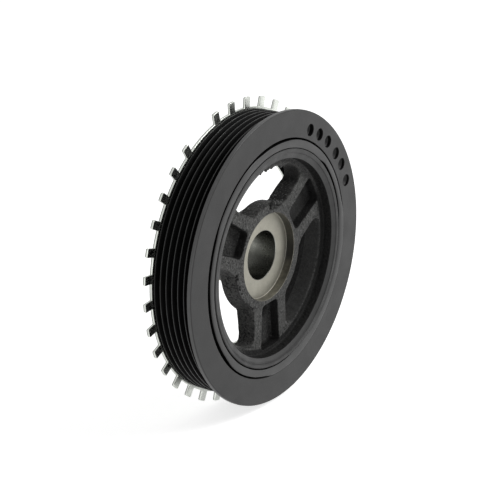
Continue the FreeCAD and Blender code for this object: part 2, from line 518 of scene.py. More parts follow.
# Pits in the casting at (x, y, z), with their reach and depth, all in millimetres;
# lumps have a depth below nought
CASTING_FAULTS = (
    # Beside the boss, from the left downwards
    (-29.8, -6.9, -1.9, 1.2, 1.4),
    (-28.8, -6.9, -3.7, 1.0, 1.2),
    (-27.4, -7.2, -8.6, 0.9, 1.2),
    (-27.0, -7.0, -9.9, 0.7, 0.9),
    (-25.4, -7.2, -12.6, 0.5, 0.6),
    (-23.6, -7.2, -15.2, 0.45, 0.5),
    (-20.8, -7.2, -19.1, 0.55, 0.6),
    (-19.0, -7.2, -21.2, 0.45, 0.5),
    (-17.2, -7.2, -23.2, 0.6, 0.7),
    (-15.6, -7.2, -24.5, 0.7, 0.8),
    # Crevice above the boss, with lumps to its right
    (1.1, -7.2, 28.8, 1.3, 2.4),
    (1.2, -7.2, 27.2, 1.2, 2.2),
    (1.2, -7.2, 25.8, 0.9, 1.6),
    (3.2, -7.3, 28.4, 1.3, -1.8),
    (4.9, -7.3, 27.6, 0.7, 1.6),
    (4.2, -7.3, 26.0, 1.0, -1.2),
    (6.4, -7.3, 27.8, 1.2, -1.6),
    (7.6, -7.3, 26.4, 0.6, 1.4),
    (6.4, -7.3, 25.2, 0.9, -0.9),
    (9.3, -7.3, 26.7, 1.2, -1.5),
    # Hollow in the floor of the bottom pocket
    (3.6, -1.7, -32.0, 2.3, 1.3),
    (2.8, -1.7, -34.6, 1.8, 1.0),
    (4.6, -1.7, -30.0, 1.8, 1.0),
)

# Painted shade and painted light on window walls that are darker or paler than the rest:
# centre and reach in millimetres, share of the other tone and that tone against the grey coat
WALL_PAINTED_LIGHT_AND_SHADE = (
    ((21, -2, 31), 16, 0.85, 0.16),
    ((-9, -2, 27), 14, 0.7, 0.16),
    ((-29, -4, -9), 14, 0.9, 2.2),
)

# Painted shade by height on the walls of the bore and the counterbore: how two ranges of
# height are joined, then each range in millimetres above the bore axis with its share of
# painted shade at its low and at its high end
BORE_PAINTED_SHADE = ("MAXIMUM", (-7, 1, 0.88, 0.0), (3, 9, 0.0, 0.65))
COUNTERBORE_PAINTED_SHADE = ("MINIMUM", (-13, -6, 0.0, 1.0), (-3, 7, 1.0, 0.65))

# Where weight was drilled out: degrees from the top, radius and depth of the wall in millimetres
BALANCE_DRILLINGS = (
    (24.4, 69.1, 2.3),
    (32.9, 69.5, 2.1),
    (41.3, 69.9, 1.9),
    (51.0, 70.0, 1.6),
    (58.8, 70.6, 1.5),
    (68.3, 70.6, 1.4),
)

# Where round the wheel the rubber differs: start and end of each span in degrees from the
# top, the degrees over which it fades out and its share
RUBBER_SPANS = {
    # It has let go of the hub rim
    "torn": ((47, 78, 8, 1.0),),
    # The coat closes the groove beside the belt ring, or the groove is narrower or wider
    "sealed": ((82, 185, 9, 1.0),),
    "narrow": ((20, 95, 25, 1.0), (165, 220, 12, 1.0), (305, 335, 12, 1.0)),
    "wide": ((235, 290, 15, 1.0),),
    # The crack beside the hub rim is wider and deeper
    "opened": ((78, 112, 14, 1.0), (178, 238, 14, 1.0), (238, 350, 20, 0.5)),
    # It slopes down further towards the crack
    "sunk": ((82, 135, 20, 1.0),),
}


# Materials

class NodeTree:
    """Nodes of a material or of the surroundings, with short ways to add to them."""

    def __init__(self, tree):
        self.nodes = tree.nodes
        self.links = tree.links

    def node(self, kind, **settings):
        """Add a node and set its properties."""
        made = self.nodes.new(kind)
        for key, value in settings.items():
            setattr(made, key, value)
        return made

    def join(self, source, target):
        """Link a socket, or set a plain value or colour."""
        if isinstance(source, bpy.types.NodeSocket):
            self.links.new(source, target)
        elif isinstance(source, (float, int)):
            target.default_value = source
        else:
            target.default_value = (*source, 1.0)

    def math(self, operation, first, second=0.0):
        """Arithmetic on one or two sockets."""
        made = self.node("ShaderNodeMath", operation=operation)
        self.join(first, made.inputs[0])
        self.join(second, made.inputs[1])
        return made.outputs[0]

    def times(self, first, second):
        """Product of two sockets."""
        return self.math("MULTIPLY", first, second)

    def spread(self, value, low, high, to_low=0.0, to_high=1.0):
        """Map a range of a socket to another, softly and clamped."""
        made = self.node("ShaderNodeMapRange", interpolation_type="SMOOTHSTEP", clamp=True)
        self.join(value, made.inputs["Value"])
        made.inputs["From Min"].default_value = low
        made.inputs["From Max"].default_value = high
        made.inputs["To Min"].default_value = to_low
        made.inputs["To Max"].default_value = to_high
        return made.outputs["Result"]

    def seen_directly(self):
        """One for rays from the camera, a mirror or glass."""
        path = self.node("ShaderNodeLightPath").outputs
        seen = self.math("MAXIMUM", path["Is Camera Ray"], path["Is Glossy Ray"])
        return self.math("MAXIMUM", seen, path["Is Transmission Ray"])


class Finish(NodeTree):
    """Node material of one surface."""

    def __init__(self, name):
        self.material = bpy.data.materials.new(name)
        self.material.use_nodes = True
        super().__init__(self.material.node_tree)
        self.shader = self.nodes["Principled BSDF"]
        self.place = self.node("ShaderNodeTexCoord").outputs["Object"]

    def grain(self, size, detail=3.0, roughness=0.55, vector=None):
        """Noise whose largest lumps have a size in metres."""
        made = self.node("ShaderNodeTexNoise")
        self.links.new(vector or self.place, made.inputs["Vector"])
        made.inputs["Scale"].default_value = 1.0 / size
        made.inputs["Detail"].default_value = detail
        made.inputs["Roughness"].default_value = roughness
        return made.outputs["Fac"]

    def turning(self, measure, size, detail):
        """Uneven lines across a measure, like those that a cutting tool leaves."""
        made = self.node("ShaderNodeTexNoise", noise_dimensions="1D")
        self.links.new(measure, made.inputs["W"])
        made.inputs["Scale"].default_value = 1.0 / size
        made.inputs["Detail"].default_value = detail
        return made.outputs["Fac"]

    def blend(self, share, first, second):
        """Mix two colours by a socket."""
        made = self.node("ShaderNodeMix", data_type="RGBA")
        # By number, because the sockets for numbers and vectors have the same names
        first_colour, second_colour, mixed = made.inputs[6], made.inputs[7], made.outputs[2]
        self.join(share, made.inputs["Factor"])
        self.join(first, first_colour)
        self.join(second, second_colour)
        return mixed

    def layers(self, base, shade, rows):
        """Blend tones of a colour over a base, by rows that each hold a socket, its range,
        the shares at the ends of the range and the tone against the colour."""
        for source, low, high, share_low, share_high, tone in rows:
            share = self.spread(source, low, high, share_low, share_high)
            base = self.blend(share, base, scaled(shade, tone))
        return base

    def measures(self):
        """Places across, along the bore axis and up, and the distance from the bore axis."""
        parts = self.node("ShaderNodeSeparateXYZ")
        self.links.new(self.place, parts.inputs[0])
        across, along, up = (parts.outputs[axis] for axis in "XYZ")
        squares = self.math("ADD", self.math("POWER", across, 2.0), self.math("POWER", up, 2.0))
        return across, along, up, self.math("SQRT", squares)

    def near(self, centre, reach):
        """One close to a point, fading to nought at a reach, both given in millimetres."""
        away = self.node("ShaderNodeVectorMath", operation="DISTANCE")
        self.links.new(self.place, away.inputs[0])
        away.inputs[1].default_value = [distance * MM for distance in centre]
        return self.spread(away.outputs["Value"], reach * 0.45 * MM, reach * MM, 1.0, 0.0)

    def line(self, value, middle, half_width):
        """One on a thin line of a value, fading to nought beside it."""
        away = self.math("ABSOLUTE", self.math("SUBTRACT", value, middle))
        return self.spread(away, half_width * 0.4, half_width, 1.0, 0.0)

    def bumps(self, heights):
        """Chain of bumps, each a socket with its height in metres and its strength."""
        normal = None
        for height, distance, strength in heights:
            made = self.node("ShaderNodeBump")
            made.inputs["Distance"].default_value = distance
            made.inputs["Strength"].default_value = strength
            self.links.new(height, made.inputs["Height"])
            if normal:
                self.links.new(normal, made.inputs["Normal"])
            normal = made.outputs["Normal"]
        self.links.new(normal, self.shader.inputs["Normal"])

    def coat(self, base, roughness, metallic=0.0, specular=0.5):
        """Set the main sockets of the shader."""
        self.join(base, self.shader.inputs["Base Color"])
        self.join(roughness, self.shader.inputs["Roughness"])
        self.shader.inputs["Metallic"].default_value = metallic
        self.shader.inputs["Specular IOR Level"].default_value = specular
        return self.material


def scaled(shade, factor):
    """Colour made lighter or darker."""
    return tuple(min(1.0, part * factor) for part in shade)


def rough_casting(name, colours, shade, web_front):
    """Grey coat on a sand casting, speckled and pitted, with painted shade and painted light."""
    finish = Finish(name)
    across, along, up, radius = finish.measures()
    coat, dark = colours.casting, colours.casting_dark
    speck = finish.grain(1.5 * MM, 3.0, 0.6)
    patch = finish.grain(9 * MM)
    pepper = finish.grain(1.1 * MM, 3.0, 0.6)
    # Coarser towards the left and on the walls behind the front of the web; painted shade makes
    # these walls darker and smoother on the right
    wall = finish.spread(along, web_front + 0.25 * MM, web_front + 1.6 * MM)
    coarse = finish.math("MAXIMUM", wall, finish.spread(across, -25 * MM, 12 * MM, 1.0, 0.75))
    shaded = finish.times(wall, finish.spread(across, 16 * MM, 30 * MM))
    coarse = finish.math("SUBTRACT", coarse, finish.times(shaded, 0.6))
    dark_specks = finish.times(coarse, finish.spread(speck, 0.4, 0.53, 1.0, 0.0))
    pale_specks = finish.times(coarse, finish.spread(pepper, 0.55, 0.66, 0.0, 0.85))
    base = scaled(coat, shade)
    # Painted shade and painted light on the window walls
    for centre, reach, share, tone in WALL_PAINTED_LIGHT_AND_SHADE:
        toned = finish.times(wall, finish.near(centre, reach))
        base = finish.blend(finish.times(toned, share), base, scaled(coat, tone))
    base = finish.blend(dark_specks, base, dark)
    base = finish.layers(base, coat, [(patch, 0.42, 0.75, 0.0, 0.45, 1.25 * shade)])
    base = finish.blend(pale_specks, base, scaled(coat, 2.0 * shade))
    # Painted shade on the walls on the right
    base = finish.blend(finish.times(shaded, 0.45), base, dark)
    # Painted shade in the corner between the web and the rim on the lower right, on the rim's
    # wall and in the pits
    lower_right = finish.math("SUBTRACT", across, up)
    holes = finish.times(finish.spread(radius, 49.4 * MM, 50.2 * MM),
                         finish.spread(lower_right, 5 * MM, 30 * MM, 0.0, 0.85))
    holes = finish.math("MAXIMUM", holes, finish.spread(radius, 52.3 * MM, 52.9 * MM, 0.0, 0.85))
    for *centre, reach, depth in CASTING_FAULTS:
        if depth > 0.0:
            holes = finish.math("MAXIMUM", holes, finish.near(centre, 1.15 * reach))
    base = finish.blend(holes, base, scaled(dark, 0.35))
    finish.bumps([(finish.grain(2.4 * MM, 4.0, 0.65), 0.9 * MM, 0.9), (pepper, 0.5 * MM, 0.9)])
    return finish.coat(base, finish.spread(speck, 0.3, 0.7, 0.5, 0.75), specular=0.14)


def rim_coat(colours, lip_inside):
    """Smoother coat on the turned rim, with faint turning lines and painted light and shade."""
    finish = Finish("rim coat")
    across, _, up, radius = finish.measures()
    shade = colours.rim
    speck = finish.grain(0.5 * MM, 4.0, 0.65)
    patch = finish.grain(7 * MM)
    # Random specks and patches, then painted light on the left and painted shade on the right
    base = finish.layers(scaled(shade, 0.62), shade, [
        (speck, 0.36, 0.62, 0.0, 1.0, 1.0),
        (patch, 0.4, 0.7, 0.0, 0.4, 1.3),
        (across, -40 * MM, 0.0, 0.6, 0.0, 1.5),
        (across, 5 * MM, 45 * MM, 0.0, 0.85, 0.35),
    ])
    lower_left = finish.math("ADD", finish.times(across, -0.6), finish.times(up, -0.8))
    # Painted shade along the lip in the lower half, a painted shadow line at the step below the
    # lip and painted shade on the edge by the rubber
    lip_shade = finish.times(finish.line(radius, lip_inside, 1.5 * MM),
                        finish.spread(up, -50 * MM, -10 * MM, 0.8, 0.0))
    step = finish.times(finish.line(radius, lip_inside, 0.55 * MM),
                        finish.spread(lower_left, 0.0, 22 * MM))
    edge = finish.times(finish.spread(radius, 57.4 * MM, 57.8 * MM),
                        finish.spread(lower_left, -45 * MM, -10 * MM, 0.0, 0.85))
    for mark, tone in ((lip_shade, 0.2), (step, 0.04), (edge, 0.1)):
        base = finish.blend(mark, base, scaled(shade, tone))
    lines = finish.turning(radius, 0.25 * MM, 2.0)
    finish.bumps([(lines, 0.03 * MM, 0.4), (speck, 0.1 * MM, 0.45)])
    return finish.coat(base, finish.spread(patch, 0.3, 0.7, 0.42, 0.6), specular=0.4)


def turned_metal(name, shade, dark, roughness, painted_shade=None, metallic=1.0):
    """Bare metal with turning lines that run round the bore axis, and on a wall painted shade by
    height.
    """
    finish = Finish(name)
    _, along, up, radius = finish.measures()
    stain = finish.grain(5 * MM, 4.0, 0.65)
    speck = finish.grain(0.45 * MM)
    base = finish.blend(finish.spread(stain, 0.3, 0.75), dark, shade)
    # Painted shade by height on a wall, in a darker tone of its own colour
    if painted_shade:
        operation, *ranges = painted_shade
        heights = [finish.spread(up, low * MM, high * MM, share_low, share_high)
                   for low, high, share_low, share_high in ranges]
        base = finish.blend(finish.math(operation, *heights), base, scaled(dark, 0.25))
    else:
        base = finish.layers(base, dark, [(speck, 0.6, 0.74, 0.0, 0.6, 0.6)])
    lines = finish.turning(along if painted_shade else radius, 0.16 * MM, 3.0)
    finish.bumps([(lines, 0.02 * MM, 0.5), (speck, 0.004 * MM, 0.2)])
    return finish.coat(base, finish.spread(stain, 0.3, 0.7, roughness + 0.03, roughness),
                       metallic=metallic)


def satin_coat(name, shade, roughness, specular):
    """Satin paint with fine orange peel, dust and small marks."""
    finish = Finish(name)
    speck = finish.grain(0.4 * MM, 3.0, 0.6)
    patch = finish.grain(12 * MM, 4.0, 0.6)
    base = finish.layers(scaled(shade, 0.82), shade, [
        (patch, 0.35, 0.7, 0.0, 1.0, 1.15),
        (speck, 0.62, 0.78, 0.0, 0.55, 1.9),
        (speck, 0.24, 0.36, 0.6, 0.0, 0.45),
    ])
    finish.bumps([(finish.grain(1.2 * MM), 0.08 * MM, 0.35), (speck, 0.05 * MM, 0.4)])
    return finish.coat(base, finish.spread(patch, 0.3, 0.7, roughness - 0.06, roughness + 0.08),
                       specular=specular)


def rubber_finish(name, shade, grain_height):
    """Matt rubber with a fine uneven skin."""
    finish = Finish(name)
    speck = finish.grain(0.5 * MM, 4.0, 0.65)
    patch = finish.grain(4 * MM)
    base = finish.layers(scaled(shade, 0.6), shade, [
        (speck, 0.35, 0.65, 0.0, 1.0, 1.2),
        (patch, 0.45, 0.7, 0.0, 0.35, 1.5),
    ])
    finish.bumps([(finish.grain(1.5 * MM), grain_height, 0.5), (speck, 0.1 * MM, 0.5)])
    return finish.coat(base, finish.spread(speck, 0.3, 0.7, 0.65, 0.85), specular=0.02)


def plate_finish(name, shade):
    """Bright stamped steel with a faint rolling grain."""
    finish = Finish(name)
    stretch = finish.node("ShaderNodeMapping")
    finish.links.new(finish.place, stretch.inputs["Vector"])
    stretch.inputs["Scale"].default_value = (0.12, 1.0, 1.0)
    rolling = finish.grain(0.3 * MM, 3.0, 0.6, stretch.outputs["Vector"])
    stain = finish.grain(6 * MM, 4.0, 0.6)
    base = finish.layers(shade, shade, [(stain, 0.38, 0.66, 0.0, 0.5, 0.78)])
    finish.bumps([(rolling, 0.008 * MM, 0.3), (finish.grain(3 * MM, 2.0), 0.03 * MM, 0.12)])
    return finish.coat(base, finish.spread(stain, 0.3, 0.7, 0.22, 0.34), metallic=1.0)


# Hub

# POCKET and POCKET_WALL are darker copies of the casting: painted shade
CASTING, RIM, SEAT, BORE, COUNTERBORE, POCKET, POCKET_WALL = range(7)


def edge_round(shell, run, rounding, side, place, rough):
    """Loops that round the mouth of an opening, from the flat face into its wall."""
    return [shell.loop(offset_outline(run, rounding * (1 - sine)),
                       place + side * rounding * drop, rough)
            for sine, drop in quarter_turn(3)]


def leaning_outline(run, sizes, boss_share, at_front):
    """Outline of a window where the casting is thicker by the boss, most so at its rear."""
    boss_fade, side_fade = (30 * MM, 37 * MM), (34 * MM, 50 * MM)
    left_side, front_share = (248.0, 285.0, 25.0), 0.65
    leaning = []
    for point, normal in run:
        facing = abs(normal.dot(point.normalized()))
        by_boss = 1.0 - smooth_step(*boss_fade, point.length)
        if at_front:
            # The boss is thicker at its front too, but only on the left
            share = front_share * boss_share * by_boss * arch(*left_side, degrees_from_top(point))
        else:
            share = 1.0 - facing + facing * by_boss * boss_share
            share *= 1.0 - smooth_step(*side_fade, point.length)
        leaning.append((point - normal * sizes.window_lean * share, normal))
    return leaning


def add_window(shell, run, sizes, boss_share, ragged):
    """Walls of one window; gives its loops in the front and rear of the web."""
    front_round, rear_round = 0.5 * MM, 0.35 * MM
    front_run = leaning_outline(run, sizes, boss_share, True)
    rear_run = leaning_outline(run, sizes, boss_share, False)
    loops = edge_round(shell, front_run, front_round, 1.0, sizes.web_front, 1.0)
    top = sizes.web_front + front_round
    bottom = sizes.web_rear - rear_round
    rows, rear_rough = 11, 0.6
    for row in range(1, rows):
        share = row / rows
        outline = [start.lerp(end, share) for (start, _), (end, _) in zip(front_run, rear_run)]
        loops.append(shell.loop(outline, top + (bottom - top) * share, 1.0))
    loops += reversed(edge_round(shell, rear_run, rear_round, -1.0, sizes.web_rear, rear_rough))
    if ragged:
        front_loops = loops[1:7]
        add_flash(shell, run, front_loops)
    shell.bands(loops, CASTING)
    return loops[0], loops[-1]


def add_flash(shell, run, loops):
    """Pull the front edge of the top window's outer wall into a ragged fin of casting flash."""
    shuffle = random.Random(7)
    fin_span = (-36.0, 15.0, 4.0)
    fin, swing, fray = 2.1, 0.9, 0.25
    loop_shares = (0.25, 0.75, 1.0, 0.85, 0.35, 0.1)
    points_per_jag = 3
    for index, (point, normal) in enumerate(run):
        outer_wall = point.length > 45 * MM
        share = arch(*fin_span, degrees_from_top(point)) if outer_wall else 0.0
        if index % points_per_jag == 0:
            jag = shuffle.uniform(-1.0, 1.0)
        growth = fin + swing * jag + shuffle.uniform(-fray, fray)
        push = normal * (-growth * MM * share)
        for loop, loop_share in zip(loops, loop_shares):
            shell.points[loop[index]] += Vector((push.x, 0.0, push.y)) * loop_share


def add_pocket(shell, run, sizes):
    """Walls and floor of one blind pocket; gives its loop in the front of the web."""
    front_round, foot_round = 0.45 * MM, 1.0 * MM
    mouth = edge_round(shell, run, front_round, 1.0, sizes.web_front, 1.0)
    floor = sizes.web_front + sizes.pocket_depth
    top = sizes.web_front + front_round
    rows = 6
    wall = []
    for row in range(1, rows + 1):
        place = top + (floor - foot_round - top) * (row / rows)
        lean = -sizes.pocket_draft * (place - sizes.web_front) / sizes.pocket_depth
        wall.append(shell.loop(offset_outline(run, lean), place, 1.0))
    foot = [shell.loop(offset_outline(run, -sizes.pocket_draft - foot_round * drop),
                       floor - foot_round * (1 - sine), 1.0)
            for sine, drop in quarter_turn(4)[1:]]
    shell.bands(mouth, CASTING)
    # The walls and floor of the pocket take darker copies of the casting as painted shade
    shell.bands([mouth[-1]] + wall, POCKET_WALL)
    shell.bands([wall[-1]] + foot, POCKET)
    shell.fill([foot[-1]], POCKET, OUTLINE_SPACING, seed=5)
    return mouth[0]


def hub_profiles(sizes):
    """Turned profiles of the hub: the rim, and the nose with the bore and the seat."""
    front, rear = hub_low.y, hub_high.y
    inside_wall, outside = sizes.rim_inside, sizes.radius
    dish = front + sizes.dish_depth
    rim_rear = plate_low.y
    # Corners by radius, place and rounding: from the web over the dish, the step and the lip
    # to the outside, and down the rear to the web again
    rim = rounded_profile([
        (inside_wall - 0.2 * MM, sizes.web_front, 0.0),
        (inside_wall, sizes.web_front, 0.8 * MM),
        (inside_wall, dish, 0.35 * MM),
        (sizes.lip_inside - 0.15 * MM, front + 0.55 * MM, 0.15 * MM),
        (sizes.lip_inside + 0.1 * MM, front + 0.12 * MM, 0.2 * MM),
        (outside, front, 0.45 * MM),
        (outside, rim_rear, 0.3 * MM),
        (outside - 4.9 * MM, rim_rear, 0.6 * MM),
        (outside - 6.8 * MM, sizes.web_rear, 1.0 * MM),
        (outside - 8.0 * MM, sizes.web_rear, 0.0),
    ])
    taper_end = sizes.web_rear + 13.4 * MM
    bore, seat = sizes.bore_radius, sizes.seat_place
    # From the web over the tapered boss and the nose, through the bore to the seat and up
    # the wall of the counterbore
    nose = rounded_profile([
        (sizes.boss_radius - 0.5 * MM, sizes.web_rear, 0.0),
        (sizes.boss_radius - 0.8 * MM, sizes.web_rear, 0.1 * MM),
        (sizes.nose_radius, taper_end, 0.8 * MM),
        (sizes.nose_radius, rear, 0.9 * MM),
        (bore, rear, 0.4 * MM),
        (bore, seat, 0.35 * MM),
        (sizes.seat_radius, seat, 0.45 * MM),
        (sizes.seat_radius, sizes.web_front, 0.2 * MM),
        (sizes.seat_radius + 0.6 * MM, sizes.web_front, 0.0),
    ])
    # The first and last corner of the rim only give the direction of the faces beside it
    return rim[1:-1], nose


def hub_band_finish(sizes, radius, place):
    """Finish of a turned band of the hub, from the radius and place of its middle."""
    if radius < sizes.bore_radius + 0.4 * MM:
        return BORE
    # The mouth of the counterbore, then its wall and the seat
    in_counterbore = radius < sizes.seat_radius + 0.7 * MM
    if in_counterbore and place < sizes.web_front + 0.2 * MM:
        return SEAT if place > sizes.web_front + 0.05 * MM else CASTING
    if in_counterbore and place < sizes.seat_place + 0.3 * MM:
        return SEAT if place > sizes.seat_place - 0.12 * MM else COUNTERBORE
    if radius < sizes.nose_radius + 0.1 * MM:
        return SEAT
    if radius > sizes.rim_inside + 0.05 * MM and place < sizes.web_front:
        return RIM
    return CASTING


class BALANCER_OT_hub(bpy.types.Operator):
    """Build the cast hub with its rim, spokes, windows, pockets, bolt seat and nose"""
    bl_idname = "balancer.hub"
    bl_label = "Hub"

    def execute(self, context):
        sizes = context.scene.balancer_hub
        colours = context.scene.balancer_colours
        shell = Shell()
        finish_at = partial(hub_band_finish, sizes)
        rim_loops, nose_loops = [turned_surface(shell, profile, WHEEL_SEGMENTS, finish_at)
                                 for profile in hub_profiles(sizes)]
        # Share of the lean by the boss, and whether there is flash: lower right, lower left, top
        windows = ((0.5, False), (1.0, False), (0.0, True))
        pitch = 2 * math.pi / len(windows)
        window = window_outline(sizes, pitch / 2, OUTLINE_SPACING)
        pocket = pocket_outline(sizes, OUTLINE_SPACING)
        front_loops = [rim_loops[0], nose_loops[-1]]
        rear_loops = [rim_loops[-1], nose_loops[0]]
        for spoke, (boss_share, ragged) in enumerate(windows):
            angle = sizes.first_spoke + spoke * pitch
            front, rear = add_window(shell, turned_outline(window, angle + pitch / 2), sizes,
                                     boss_share, ragged)
            front_loops.append(front)
            rear_loops.append(rear)
            front_loops.append(add_pocket(shell, turned_outline(pocket, angle), sizes))
        shell.fill(front_loops, CASTING, FRONT_SPACING, seed=11)
        shell.fill(rear_loops, CASTING, REAR_SPACING, seed=12)
        materials = [
            rough_casting("rough casting", colours, 1.0, sizes.web_front),
            rim_coat(colours, sizes.lip_inside),
            turned_metal("machined seat", colours.seat, scaled(colours.seat, 0.88), 0.56),
            turned_metal("machined bore", colours.bore, scaled(colours.bore, 0.7), 0.26,
                         BORE_PAINTED_SHADE),
            # The counterbore's wall is darkened by painted shade
            turned_metal("counterbore in painted shade", colours.counterbore,
                         scaled(colours.counterbore, 0.35), 0.36, COUNTERBORE_PAINTED_SHADE, 0.2),
            # The pocket floor and wall are darker copies of the casting: painted shade
            rough_casting("pocket floor", colours, 0.5, sizes.web_front),
            rough_casting("pocket wall", colours, 0.12, sizes.web_front),
        ]
        made = shell.piece("hub_casting", materials,
                           partial(roughen_casting, grain=sizes.casting_grain))
        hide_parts("hub")
        return {"FINISHED"}


def roughen_casting(work, rough, grain):
    """Move the points of the cast faces in and out, sink the pits and raise the lumps."""
    coarse, fine, uneven = 2.6 * MM, 0.95 * MM, 0.7 * MM
    apart = Vector((7.0, 3.0, 1.0))
    moves = []
    for vertex, share in zip(work.verts, rough):
        if share == 0.0:
            moves.append(None)
            continue
        place = vertex.co
        height = noise.noise(place / coarse) * grain * 1.3
        height += noise.noise(place / fine + apart) * grain * 0.8
        if place.y < 0.0:
            for *centre, reach, depth in CASTING_FAULTS:
                away = (place / MM - Vector(centre)).length
                if away < 2.0 * reach:
                    away += 0.35 * noise.noise(place / uneven)
                    height -= depth * MM * (1.0 - smooth_step(reach * 0.35, reach * 1.3, away))
        moves.append(vertex.normal * height * share)
    for vertex, move in zip(work.verts, moves):
        if move:
            vertex.co += move


# Belt ring

RING_FACE, GROOVE, CREST_HIGHLIGHT, DRILLED, DRILL_POINT, EDGE_HIGHLIGHT = range(6)


def belt_ring_profile(sizes):
    """Profile of the ring from its front face over the belt track to its bore."""
    slope = math.tan(sizes.groove_angle / 2)
    root = sizes.crest_radius - (sizes.groove_pitch - sizes.crest_width) / 2 / slope
    half_track = sizes.grooves * sizes.groove_pitch / 2
    half_crest = sizes.crest_width / 2
    crest_rounding, root_rounding, flange_height = 0.34 * MM, 0.22 * MM, 3.15 * MM
    flange = sizes.crest_radius + flange_height
    front, rear = ring_low.y, ring_high.y
    flange_back = sizes.groove_pitch / 2 - half_track - (flange - root) * slope
    # Corners by radius, place and rounding
    corners = [(flange, front, 0.7 * MM), (flange, flange_back, 0.25 * MM)]
    for groove in range(sizes.grooves):
        start = -half_track + groove * sizes.groove_pitch
        corners.append((root, start + sizes.groove_pitch / 2, root_rounding))
        if groove < sizes.grooves - 1:
            ridge = start + sizes.groove_pitch
            corners += [(sizes.crest_radius, ridge - half_crest, crest_rounding),
                        (sizes.crest_radius, ridge + half_crest, crest_rounding)]
    corners += [
        (sizes.crest_radius, half_track - half_crest, crest_rounding),
        (sizes.crest_radius, rear, 0.2 * MM),
        (sizes.inside, rear, 0.4 * MM),
        (sizes.inside, front, 0.3 * MM),
    ]
    return rounded_profile(corners), root


def ring_band_finish(sizes, face_radius, root, radius, place):
    """Finish of a turned band of the ring, from the radius and place of its middle."""
    if place > ring_low.y + 2.0 * MM and radius > root - 1.0 * MM:
        # Painted highlights on the rib crests and the flange edge, painted shade in the grooves
        return CREST_HIGHLIGHT if radius > sizes.crest_radius - 0.002 * MM else GROOVE
    return EDGE_HIGHLIGHT if radius > face_radius + 0.62 * MM else RING_FACE


def add_drilling(shell, centre, depth, sizes):
    """Blind balance drilling with the cone that the drill's point leaves."""
    front = ring_low.y
    floor = front + depth
    steps = 48
    point_slope = math.radians(31)
    cone = sizes.drilling_radius * math.tan(point_slope)
    # Steps of the mouth in millimetres, out from the wall and in from the face
    mouth = [(0.2, 0.0), (0.13, 0.0), (0.06, 0.02), (0.015, 0.07), (0.0, 0.14), (0.0, 0.2)]
    # The rest by share of the radius
    wall = [(1.0, floor - 0.3 * MM), (1.0, floor - 0.05 * MM)]
    point = [(0.97, floor + 0.03 * MM), (0.9, floor + cone * 0.1), (0.5, floor + cone * 0.5),
             (0.1, floor + cone * 0.9)]
    rows = [(sizes.drilling_radius + step * MM, front + place * MM) for step, place in mouth]
    rows += [(sizes.drilling_radius * share, place) for share, place in wall + point]
    loops = [shell.loop(circle(radius, steps, centre), place) for radius, place in rows]
    above_point = len(mouth) + len(wall)
    # The drilled wall and the drill point are darker copies of the coat: painted shade
    shell.bands(loops[:above_point], DRILLED)
    shell.bands(loops[above_point - 1:], DRILL_POINT)
    shell.point_cap(loops[-1], floor + cone * 0.97, centre, DRILL_POINT)
    return loops[0]


class BALANCER_OT_pulley_ring(bpy.types.Operator):
    """Build the belt ring with its flange, grooves and balance drillings"""
    bl_idname = "balancer.pulley_ring"
    bl_label = "Belt Ring"

    def execute(self, context):
        sizes = context.scene.balancer_pulley_ring
        colours = context.scene.balancer_colours
        shell = Shell()
        profile, root = belt_ring_profile(sizes)
        loops = turned_surface(shell, profile, TRACK_SEGMENTS,
                               partial(ring_band_finish, sizes, profile[0].x, root))
        holes = [add_drilling(shell, polar(math.radians(angle), radius * MM), depth * MM, sizes)
                 for angle, radius, depth in BALANCE_DRILLINGS]
        shell.fill([loops[0], loops[-1]] + holes, RING_FACE)
        materials = [
            # The grooves, drilled walls and drill points take darker copies of the coat as painted
            # shade; the rib crests and the flange edge take paler copies as painted highlights
            satin_coat("ring coat", colours.ring, 0.42, 0.33),
            satin_coat("groove coat", colours.groove, 0.5, 0.06),
            satin_coat("rib crest painted highlight", scaled(colours.ring, 1.6), 0.4, 0.35),
            satin_coat("drilled wall", scaled(colours.ring, 0.35), 0.6, 0.1),
            satin_coat("drill point", scaled(colours.ring, 0.7), 0.55, 0.3),
            satin_coat("painted edge highlight", scaled(colours.ring, 3.0), 0.4, 0.5),
        ]
        made = shell.piece("belt_ring", materials)
        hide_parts("pulley_ring")
        return {"FINISHED"}


# Damping ring

BARE_RUBBER, DUSTED_RUBBER = range(2)


def span_share(kind, angle):
    """How strongly the rubber differs in one way at an angle in degrees."""
    return max(share * arch(start, end, edge, angle)
               for start, end, edge, share in RUBBER_SPANS[kind])


